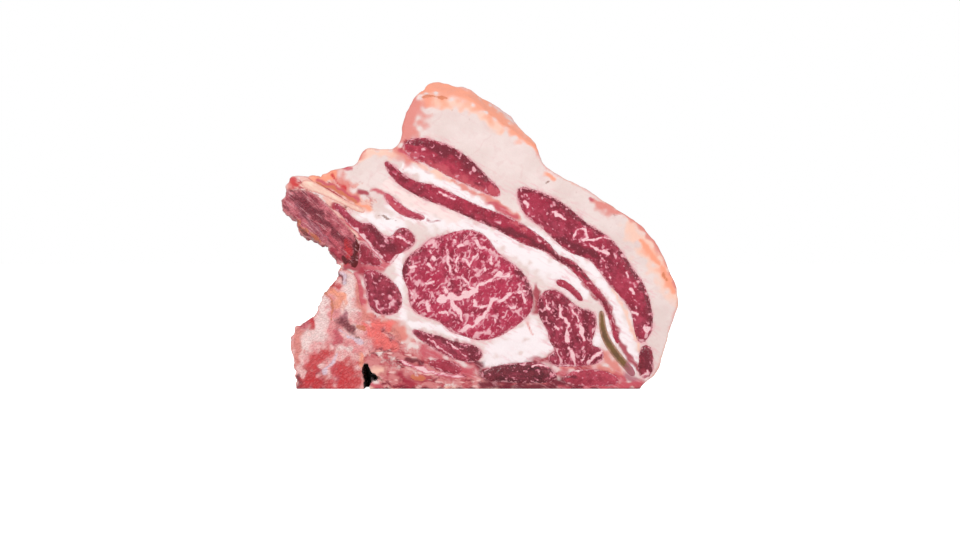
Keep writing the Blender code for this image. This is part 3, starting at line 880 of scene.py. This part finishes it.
class Recipe:
    """A new material with short ways to add its nodes."""

    def __init__(self, name):
        self.material = bpy.data.materials.new(name)
        self.material.use_nodes = True
        self.tree = self.material.node_tree
        self.shader = self.tree.nodes["Principled BSDF"]
        place = self.tree.nodes.new("ShaderNodeTexCoord").outputs["Object"]
        scaled = self.tree.nodes.new("ShaderNodeVectorMath")
        scaled.operation = "SCALE"
        scaled.inputs["Scale"].default_value = 1 / MM
        self.tree.links.new(place, scaled.inputs[0])
        self.place = scaled.outputs[0]
        # Noise on both sides of nought, for ragged and for mottled edges.
        self.ragged = self.work("SUBTRACT", self.noise(1.8, 3.0, 0.65), 0.5)
        self.mottle = self.work("SUBTRACT", self.noise(5.0, 3.0, 0.6), 0.5)

    def feed(self, socket, value):
        """Joins a socket to another node's output, or sets it to a plain value."""
        if isinstance(value, bpy.types.NodeSocket):
            self.tree.links.new(value, socket)
        else:
            socket.default_value = value

    def work(self, operation, first, second=0.0):
        """One calculation with two numbers."""
        node = self.tree.nodes.new("ShaderNodeMath")
        node.operation = operation
        self.feed(node.inputs[0], first)
        self.feed(node.inputs[1], second)
        return node.outputs[0]

    def times(self, first, second):
        """The product of two numbers."""
        return self.work("MULTIPLY", first, second)

    def add(self, value, extra, strength):
        """A number and a part of another one."""
        return self.work("ADD", value, self.times(extra, strength))

    def blend(self, share, first, second):
        """Mixes two colours."""
        node = self.tree.nodes.new("ShaderNodeMix")
        node.data_type = "RGBA"
        self.feed(node.inputs["Factor"], share)
        self.feed(node.inputs[6], first)
        self.feed(node.inputs[7], second)
        return node.outputs[2]

    def lay(self, base, shade, share, strength):
        """Lays a colour over another where the share says, from 0 to 1, at a strength."""
        return self.blend(self.times(share, strength), base, shade)

    def step(self, value, low, high):
        """0 below low, 1 above high, eased between; low may be the larger one."""
        node = self.tree.nodes.new("ShaderNodeMapRange")
        node.interpolation_type = "SMOOTHSTEP"
        self.feed(node.inputs["Value"], value)
        rising = high > low
        node.inputs["From Min"].default_value = low if rising else high
        node.inputs["From Max"].default_value = high if rising else low
        node.inputs["To Min"].default_value = 0.0 if rising else 1.0
        node.inputs["To Max"].default_value = 1.0 if rising else 0.0
        return node.outputs["Result"]

    def noise(self, size, detail=3.0, roughness=0.6, place=None):
        """Soft noise with spots of a size in millimetres, about 0.5 in the middle."""
        node = self.tree.nodes.new("ShaderNodeTexNoise")
        self.feed(node.inputs["Vector"], place or self.place)
        node.inputs["Scale"].default_value = 1 / size
        node.inputs["Detail"].default_value = detail
        node.inputs["Roughness"].default_value = roughness
        return node.outputs["Fac"]

    def spots(self, size, low, high, place=None, detail=3.0, roughness=0.6):
        """Noise turned into spots: 0 where it is below low, 1 where it is above high."""
        return self.step(self.noise(size, detail, roughness, place), low, high)

    def cells(self, size, place, feature="DISTANCE_TO_EDGE"):
        """Cells of a size in millimetres: the distance from their walls, or their middles."""
        node = self.tree.nodes.new("ShaderNodeTexVoronoi")
        node.feature = feature
        self.feed(node.inputs["Vector"], place)
        node.inputs["Scale"].default_value = 1 / size
        return node.outputs["Distance"]

    def warped(self, size, strength):
        """The place, pushed about by noise, so that patterns on it run crooked."""
        node = self.tree.nodes.new("ShaderNodeTexNoise")
        self.feed(node.inputs["Vector"], self.place)
        node.inputs["Scale"].default_value = 1 / size
        centred = self.tree.nodes.new("ShaderNodeVectorMath")
        centred.operation = "SUBTRACT"
        self.tree.links.new(node.outputs["Color"], centred.inputs[0])
        centred.inputs[1].default_value = (0.5, 0.5, 0.5)
        push = self.tree.nodes.new("ShaderNodeVectorMath")
        push.operation = "MULTIPLY_ADD"
        self.tree.links.new(centred.outputs[0], push.inputs[0])
        push.inputs[1].default_value = (strength, strength, strength)
        self.feed(push.inputs[2], self.place)
        return push.outputs[0]

    def turned(self, degrees, stretch, place=None):
        """The place squeezed along a slope, so patterns grow long that way, down to the right."""
        node = self.tree.nodes.new("ShaderNodeMapping")
        node.vector_type = "TEXTURE"
        self.feed(node.inputs["Vector"], place or self.place)
        node.inputs["Rotation"].default_value = (0, math.radians(degrees), 0)
        node.inputs["Scale"].default_value = (stretch, 1, 1)
        return node.outputs[0]

    def stored(self, name):
        """A number stored on the vertices."""
        node = self.tree.nodes.new("ShaderNodeAttribute")
        node.attribute_name = name
        return node.outputs["Fac"]

    def finish(self, base, roughness, gloss):
        """Gives the shader its colour, its roughness and its gloss."""
        self.feed(self.shader.inputs["Base Color"], base)
        self.feed(self.shader.inputs["Roughness"], roughness)
        self.feed(self.shader.inputs["Specular IOR Level"], gloss)

    def bump(self, height, distance):
        """Joins a height to the shader as bump of a depth in millimetres."""
        node = self.tree.nodes.new("ShaderNodeBump")
        node.inputs["Strength"].default_value = 1.0
        node.inputs["Distance"].default_value = distance * MM
        self.feed(node.inputs["Height"], height)
        self.tree.links.new(node.outputs[0], self.shader.inputs["Normal"])


print("black and white, as shaders see them:", colour(0, 0, 0), colour(255, 255, 255))

# %% [markdown]
# ## Colours and edges of the stains and painted shadows
#
# Nearly every stain has one colour. Only the web beside the chine bone and the torn sinew at
# the upper left are mixes. Noise makes the edges uneven. Most stains are soft: they are
# mottled and fade out. A vein of fat has a frayed edge with a pink fringe, dried blood and
# brown crumbs end more sharply, and the painted shadow in the saw slot is nearly black. On the
# smooth fat the soft stains and the veins stay calmer than on lean and bone.

# %% Stains
STAIN_AND_SHADOW_COLOURS = {
    "white": colour(255, 245, 247),
    "cream": colour(255, 228, 224),
    "peach": colour(252, 204, 184),
    "flush": colour(228, 134, 124),
    "salmon": colour(255, 162, 130),
    "coral": colour(255, 116, 110),
    "mauve": colour(178, 104, 118),
    "rose": colour(204, 84, 98),
    "crimson": colour(170, 40, 62),
    "wine": colour(114, 26, 44),
    "marrow": colour(206, 44, 50),
    "amber": colour(212, 122, 84),
    "brown": colour(136, 84, 66),
    "blood": colour(92, 4, 12),
    "pale": colour(248, 204, 208),
    "bluish": colour(232, 212, 226),
    # Painted shadow inside the saw slot.
    "soot": colour(14, 8, 8),
}
# Fray, mottling, where the stain starts and is full, and its strength.
STAIN_AND_SHADOW_EDGES = {
    "soft": (0.45, 0.8, 0.08, 0.85, 0.92),
    "pale": (1.9, 0.0, 0.42, 0.85, 1.0),
    # The painted shadow inside the saw slot keeps a clean edge.
    "soot": (0.9, 0.0, 0.3, 0.6, 1.0),
    "blood": (0.9, 1.2, 0.3, 0.8, 1.0),
    "crumb": (0.9, 1.2, 0.3, 0.8, 0.8),
}
PALE_EDGE = colour(214, 110, 132)


def web_colour(recipe):
    """The streaky mix of salmon fat, gristle and scraps of lean beside the bone."""
    streaked = recipe.turned(12.0, 2.6, recipe.warped(9.0, 7.0))
    pink = recipe.spots(5.0, 0.42, 0.6, streaked)
    red = recipe.spots(6.5, 0.54, 0.66, streaked, roughness=0.65)
    pale = recipe.spots(4.0, 0.56, 0.66, recipe.turned(8.0, 3.0), detail=2.0)
    base = recipe.blend(pink, colour(216, 134, 134), colour(188, 78, 86))
    base = recipe.blend(red, base, colour(132, 34, 50))
    return recipe.blend(pale, base, colour(238, 188, 184))


def sinew_colour(recipe):
    """Torn sinew at the upper left: cream fibres, salmon fat and rusty scraps, all one way."""
    along = recipe.turned(32.0, 5.0, recipe.warped(7.0, 3.0))
    red = recipe.spots(2.6, 0.47, 0.61, along)
    rust = recipe.spots(3.4, 0.6, 0.7, recipe.turned(36.0, 4.0))
    fibres = recipe.noise(1.8, 2.0, 0.6, along)
    base = recipe.blend(fibres, colour(252, 216, 196), colour(234, 164, 158))
    base = recipe.blend(red, base, colour(190, 80, 86))
    return recipe.blend(rust, base, colour(128, 64, 54))


def add_stains_and_shadows(recipe, base, tints, calm=1.0):
    """Lays stains and painted shadows over a colour; calm makes soft ones and veins less ragged."""
    for tint, mix in (("web", web_colour), ("sinew", sinew_colour)):
        if tint in tints:
            share = recipe.step(recipe.work("ADD", recipe.stored(tint), recipe.ragged), 0.2, 0.7)
            base = recipe.blend(share, base, mix(recipe))
    for tint in [tint for tint in STAIN_AND_SHADOW_COLOURS if tint in tints]:
        kind = "soft" if tint in SOFT_TINTS else tint
        fray, mottling, start, full, strength = STAIN_AND_SHADOW_EDGES.get(kind, STAIN_AND_SHADOW_EDGES["crumb"])
        if kind in ("soft", "pale"):
            fray *= calm
            mottling *= calm
        field = recipe.add(recipe.stored(tint), recipe.ragged, fray)
        field = recipe.add(field, recipe.mottle, mottling)
        if kind == "pale":
            base = recipe.blend(recipe.step(field, 0.2, 0.5), base, PALE_EDGE)
        base = recipe.lay(base, STAIN_AND_SHADOW_COLOURS[tint], recipe.step(field, start, full), strength)
    return base


print("stain colours:", len(STAIN_AND_SHADOW_COLOURS))

# %% [markdown]
# ## Lean
#
# Lean is red, darker where it has dried, and flecks and threads of fat run through it. A line
# where smooth noise passes its middle value winds about like such a thread, and a second
# noise breaks it into pieces. Two sizes of threads and one of spots make the marbling. The
# reds differ from muscle to muscle: the eye is crimson, the small muscles below it are a dark
# maroon, the strips near the top are brighter. The numbers after the three reds are the share
# of fat, and the turn and stretch of the grain.

# %% Lean finishes
LEANS = {
    "rib_eye": ((134, 25, 50), (172, 34, 67), (194, 51, 84), 0.5, 120, 1.4),
    "eye_cap": ((100, 18, 35), (140, 30, 54), (174, 51, 78), 0.36, 80, 1.8),
    "outer_lean": ((120, 21, 43), (158, 34, 60), (184, 52, 80), 0.16, 42, 1.8),
    "outer_lean_tip": ((98, 16, 32), (130, 26, 45), (160, 43, 61), 0.1, 70, 1.6),
    "middle_lean": ((124, 23, 43), (164, 34, 61), (190, 54, 80), 0.0, 28, 3.0),
    "top_lean": ((130, 28, 48), (170, 41, 65), (198, 59, 84), 0.12, 32, 2.6),
    "cap_tail": ((120, 25, 45), (160, 38, 61), (186, 59, 82), 0.1, 40, 2.0),
    "thin_lean": ((144, 39, 58), (178, 54, 76), (204, 79, 100), 0.1, 35, 2.4),
    "costal_lean_upper": ((108, 26, 43), (148, 39, 61), (182, 64, 86), 0.12, 28, 4.0),
    "costal_lean_lower": ((124, 28, 45), (160, 43, 63), (190, 66, 87), 0.1, 22, 4.0),
    "spinal_lean": ((116, 21, 41), (156, 34, 58), (184, 56, 80), 0.1, 45, 2.0),
    "spinal_wedge": ((126, 25, 43), (158, 36, 58), (184, 56, 80), 0.1, 45, 1.6),
    "deep_lean": ((118, 26, 46), (156, 39, 63), (184, 61, 84), 0.25, 60, 1.5),
    "bottom_lean": ((74, 14, 26), (98, 24, 38), (136, 46, 60), 0.12, 5, 3.0),
    "base_lean": ((146, 39, 58), (174, 51, 73), (202, 74, 93), 0.1, 5, 3.0),
}
HAZE = colour(206, 80, 106)


def threads(recipe, place, size, width, shown):
    """Winding threads of a width, from noise of a size; shown from 0 to 1 breaks them less."""
    level = recipe.work("SUBTRACT", recipe.noise(size, 1.5, 0.5, place), 0.5)
    line = recipe.step(recipe.work("ABSOLUTE", level), 0.36 * width / size, 0.02 * width / size)
    gate = recipe.noise(0.8 * size, 1.0, 0.5, recipe.turned(40.0, 1.0))
    return recipe.times(line, recipe.step(gate, 0.62 - 0.3 * shown, 0.74 - 0.3 * shown))


def marbling(recipe, place, shown):
    """Curls, threads and spots of fat in lean, from 0 to 1."""
    net = threads(recipe, place, 8.0, 2.1, shown)
    small = recipe.times(threads(recipe, place, 4.2, 1.2, shown), 0.75)
    spots = recipe.noise(2.6, 1.0, 0.5, place)
    spots = recipe.step(spots, 0.68 - 0.16 * shown, 0.9 - 0.16 * shown)
    spots = recipe.times(spots, 0.5 + 0.5 * shown)
    return recipe.work("MAXIMUM", net, recipe.work("MAXIMUM", small, spots))


def lean_material(name, tints, deep, middle, bright, fat_share, grain_turn, grain_stretch):
    """Raw lean: fat_share from 0 to 1 is how much of its marbling shows."""
    recipe = Recipe("raw_" + name)
    base = recipe.blend(recipe.spots(22.0, 0.36, 0.64), colour(*deep), colour(*middle))
    base = recipe.lay(base, colour(*bright), recipe.spots(5.0, 0.38, 0.7), 0.7)
    straight = recipe.turned(grain_turn, grain_stretch)
    haze = recipe.spots(6.5, 0.46, 0.72, straight, roughness=0.65)
    base = recipe.lay(base, HAZE, haze, 0.35 + 0.4 * fat_share)
    base = add_stains_and_shadows(recipe, base, [tint for tint in tints if tint in SOFT_TINTS])
    crooked = recipe.turned(grain_turn, grain_stretch, recipe.warped(5.0, 3.0))
    net = marbling(recipe, crooked, fat_share)
    base = recipe.lay(base, PALE_EDGE, recipe.step(net, 0.0, 0.6), 0.8)
    base = recipe.lay(base, STAIN_AND_SHADOW_COLOURS["pale"], recipe.step(net, 0.4, 1.0), 0.65)
    fringe = recipe.add(recipe.stored("border"), recipe.ragged, 5.0)
    fringe = recipe.step(recipe.add(fringe, recipe.mottle, 4.0), 0.7, 0.0)
    base = recipe.lay(base, colour(232, 160, 170), fringe, 0.75)
    base = add_stains_and_shadows(recipe, base, [tint for tint in tints if tint not in SOFT_TINTS])
    wet = recipe.spots(3.0, 0.3, 0.7, detail=2.0)
    recipe.finish(base, recipe.add(0.17, wet, 0.22), 0.4)
    bundles = recipe.cells(1.7, recipe.warped(3.0, 1.5), "F1")
    recipe.bump(recipe.add(recipe.times(bundles, 0.5), net, 0.4), 0.5)
    return recipe.material


finishes = {name: lean_material(name, painted[name], *LEANS[name]) for name in LEANS}
print("lean finishes:", len(finishes))

# %% [markdown]
# ## Fat
#
# Fat between the muscles is white, the cap is a greyish pink, and the skin side turns salmon.
# Thin pink skins divide the fat into lobes, fine pink fibres run through it, most of them next
# to the lean, and blood stains it there too. Where the lean's border is ragged, a little red
# spills over the fat.

# %% Fat finish
CALM = 0.35


def fat_material(tints):
    """White, cap and salmon fat on one piece."""
    recipe = Recipe("raw_fat")
    tone = recipe.spots(24.0, 0.35, 0.65, detail=2.0, roughness=0.5)
    base = recipe.blend(tone, colour(233, 212, 207), colour(241, 222, 218))
    blotch = recipe.spots(7.0, 0.45, 0.8, detail=4.0, roughness=0.65)
    base = recipe.lay(base, colour(232, 202, 199), blotch, 0.5)
    skins = threads(recipe, recipe.turned(-25.0, 2.0, recipe.warped(9.0, 5.0)), 14.0, 2.0, 0.5)
    base = recipe.lay(base, colour(222, 180, 178), skins, 0.2)
    away = recipe.stored("lean_away")
    blush = recipe.step(recipe.add(away, recipe.mottle, 6.0), 2.2, 0.0)
    base = recipe.lay(base, colour(236, 172, 180), blush, 0.65)
    skin_side = recipe.step(recipe.add(recipe.stored("rim"), recipe.mottle, 6.0), 3.0, 0.0)
    salmon = recipe.spots(16.0, 0.42, 0.62, recipe.turned(20.0, 1.6))
    hide = recipe.blend(salmon, colour(238, 172, 166), colour(248, 176, 148))
    base = recipe.lay(base, hide, skin_side, 0.7)
    base = add_stains_and_shadows(recipe, base, tints, CALM)
    fibres = recipe.spots(2.2, 0.5, 0.68, recipe.turned(28.0, 6.0, recipe.warped(12.0, 5.0)))
    beside = recipe.add(0.07, recipe.step(away, 9.0, 2.0), 0.42)
    base = recipe.lay(base, colour(238, 172, 180), fibres, beside)
    spill = recipe.step(recipe.add(away, recipe.ragged, 4.0), 0.25, -0.3)
    base = recipe.blend(spill, base, colour(168, 62, 82))
    recipe.finish(base, 0.42, 0.3)
    lobes = recipe.cells(3.0, recipe.warped(4.0, 3.0), "SMOOTH_F1")
    recipe.bump(recipe.add(recipe.noise(1.4), lobes, 0.4), 0.25)
    return recipe.material


finishes["fat"] = fat_material(painted["fat"])
print("nodes in the fat's net:", len(finishes["fat"].node_tree.nodes))

# %% [markdown]
# ## Bone, gristle and ligament
#
# Sawn bone is full of small red pores between pale struts, with a hard pink wall round it. The
# saw has smeared dark and light streaks along the feather bone. Gristle is olive brown and
# cloudy. The ligament at the top is a smooth cream band of long fibres.

# %% Firm finishes
BONE_SHADES = {
    "feather_bone": ((222, 124, 134), (160, 48, 66), (222, 140, 140), 1.0),
    "chine_bone": ((252, 206, 202), (238, 148, 150), (240, 158, 148), 0.15),
}
CLOSE_SHADES = {
    "ligament": ((250, 220, 200), (244, 196, 180), (236, 172, 160), 0.35, 3.0, True),
    "blade_cartilage": ((124, 90, 50), (108, 76, 52), (190, 142, 122), 0.38, 9.0, False),
}


def bone_material(name, tints, struts, pores, wall, streaks):
    """Sawn spongy bone with marrow in its pores, and streaks along it from 0 to 1."""
    recipe = Recipe("raw_" + name)
    base = recipe.blend(recipe.spots(11.0, 0.38, 0.62), colour(*pores), colour(*struts))
    outer = recipe.step(recipe.add(recipe.stored("border"), recipe.ragged, 2.5), 1.6, 0.3)
    base = recipe.lay(base, colour(*wall), outer, 0.8)
    base = add_stains_and_shadows(recipe, base, tints)
    grained = recipe.turned(-38.0, 2.2, recipe.warped(3.0, 1.6))
    holes = recipe.step(recipe.cells(1.9, grained), 0.05, 0.22)
    base = recipe.lay(base, colour(*pores), holes, 0.14 + 0.14 * streaks)
    dark = recipe.spots(2.4, 0.5, 0.66, recipe.turned(44.0, 7.0, recipe.warped(8.0, 2.5)))
    light = recipe.spots(2.1, 0.54, 0.68, recipe.turned(41.0, 8.0))
    base = recipe.lay(base, colour(112, 30, 46), dark, 0.7 * streaks)
    base = recipe.lay(base, colour(228, 160, 166), light, 0.7 * streaks)
    recipe.finish(base, 0.36, 0.45)
    recipe.bump(recipe.work("ADD", holes, recipe.noise(1.1)), 0.4)
    return recipe.material


def close_material(name, tints, first, second, outer, roughness, cloud, fibred):
    """Close gristle or ligament in two shades and an outer one, cloudy or in long fibres."""
    recipe = Recipe("raw_" + name)
    place = recipe.turned(32.0, 5.0, recipe.warped(7.0, 3.0)) if fibred else recipe.place
    base = recipe.blend(recipe.spots(cloud, 0.35, 0.65, place), colour(*first), colour(*second))
    rim = recipe.step(recipe.add(recipe.stored("border"), recipe.ragged, 2.0), 1.6, 0.1)
    base = recipe.blend(rim, base, colour(*outer))
    base = add_stains_and_shadows(recipe, base, tints)
    recipe.finish(base, roughness, 0.35)
    recipe.bump(recipe.noise(2.2, 4.0), 0.35)
    return recipe.material


for name, shades in BONE_SHADES.items():
    finishes[name] = bone_material(name, painted[name], *shades)
for name, shades in CLOSE_SHADES.items():
    finishes[name] = close_material(name, painted[name], *shades)
print("finishes in all:", len(finishes))

# %% [markdown]
# ## Every piece gets its finish
#
# Each piece takes its material and smooth shading, rides on the part's one body, and stands in
# for the imported node of its name, which is hidden.

# %% Finishing the pieces
for name, piece in pieces.items():
    piece.data.materials.clear()
    piece.data.materials.append(finishes[name])
    piece.data.shade_smooth()
    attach(piece, "root")
    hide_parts(name)
print("finished pieces:", len(pieces))

# %% [markdown]
# ## Floor, light and camera
#
# The steak stands alone on a white floor in a white surround. The floor glows for the camera
# only, and the surround is brighter for the camera than for the meat, so both look white
# without flooding the steak with light. Two large soft lights give the wet surface some
# gloss. The camera looks almost straight at the cut face from two metres, raised by one
# degree. The frame is then 720 millimetres wide at that face, and the base comes to its place
# in the photo.

# %% The studio
FRAME_HEIGHT = 540
CAMERA_AWAY = 2.0
CAMERA_RISE = 1.0
LENS = 100.0
SENSOR = 36.0
ROOM_LIGHT = 0.6
FLOOR_HALF = 6.0
FLOOR_DROP = 0.0002
PAPER_WHITE = 0.93
WHITE = (1, 1, 1, 1)
scene = bpy.context.scene
scene.view_settings.view_transform = "Standard"

floor = bmesh.new()
bmesh.ops.create_grid(floor, x_segments=1, y_segments=1, size=FLOOR_HALF)
floor = mesh_object("studio_floor", floor)
floor.location.z = -FLOOR_DROP
paper = bpy.data.materials.new("studio_paper")
paper.use_nodes = True
paper_shader = paper.node_tree.nodes["Principled BSDF"]
paper_shader.inputs["Base Color"].default_value = (PAPER_WHITE, PAPER_WHITE, PAPER_WHITE, 1)
paper_shader.inputs["Roughness"].default_value = 0.9
paper_shader.inputs["Specular IOR Level"].default_value = 0.0
paper_shader.inputs["Emission Color"].default_value = WHITE
paper_seen = paper.node_tree.nodes.new("ShaderNodeLightPath").outputs["Is Camera Ray"]
paper.node_tree.links.new(paper_seen, paper_shader.inputs["Emission Strength"])
floor.data.materials.append(paper)

world = bpy.data.worlds.new("studio_world")
scene.world = world
world.use_nodes = True
sky = world.node_tree.nodes["Background"]
sky.inputs["Color"].default_value = WHITE
seen = world.node_tree.nodes.new("ShaderNodeLightPath").outputs["Is Camera Ray"]
strength = world.node_tree.nodes.new("ShaderNodeMapRange")
strength.inputs["To Min"].default_value = ROOM_LIGHT
strength.inputs["To Max"].default_value = 1.0
world.node_tree.links.new(seen, strength.inputs["Value"])
world.node_tree.links.new(strength.outputs["Result"], sky.inputs["Strength"])


def soft_light(name, place, target, size, power):
    """A square area light at a place, turned towards a point."""
    lamp = bpy.data.lights.new(name, "AREA")
    lamp.shape = "SQUARE"
    lamp.size = size
    lamp.energy = power
    made = bpy.data.objects.new(name, lamp)
    scene.collection.objects.link(made)
    made.location = place
    made.rotation_euler = (Vector(target) - Vector(place)).to_track_quat("-Z", "Y").to_euler()


middle = (0, 0, 0.11)
soft_light("key_light", (-0.8, -1.4, 1.3), middle, 0.7, 13.0)
soft_light("fill_light", (1.2, -1.2, 0.7), middle, 0.9, 5.5)

aim = Vector((0, -HALF_DEPTH, (BASE_ROW - FRAME_HEIGHT / 2) * PIXEL)) * MM
lift = math.radians(CAMERA_RISE)
lens = bpy.data.cameras.new("camera")
lens.lens = LENS
lens.sensor_width = SENSOR
camera = bpy.data.objects.new("camera", lens)
scene.collection.objects.link(camera)
camera.location = aim + Vector((0, -math.cos(lift), math.sin(lift))) * CAMERA_AWAY
camera.rotation_euler = (aim - camera.location).to_track_quat("-Z", "Y").to_euler()
scene.camera = camera
print("frame width at the face:", CAMERA_AWAY * SENSOR / LENS, "m")
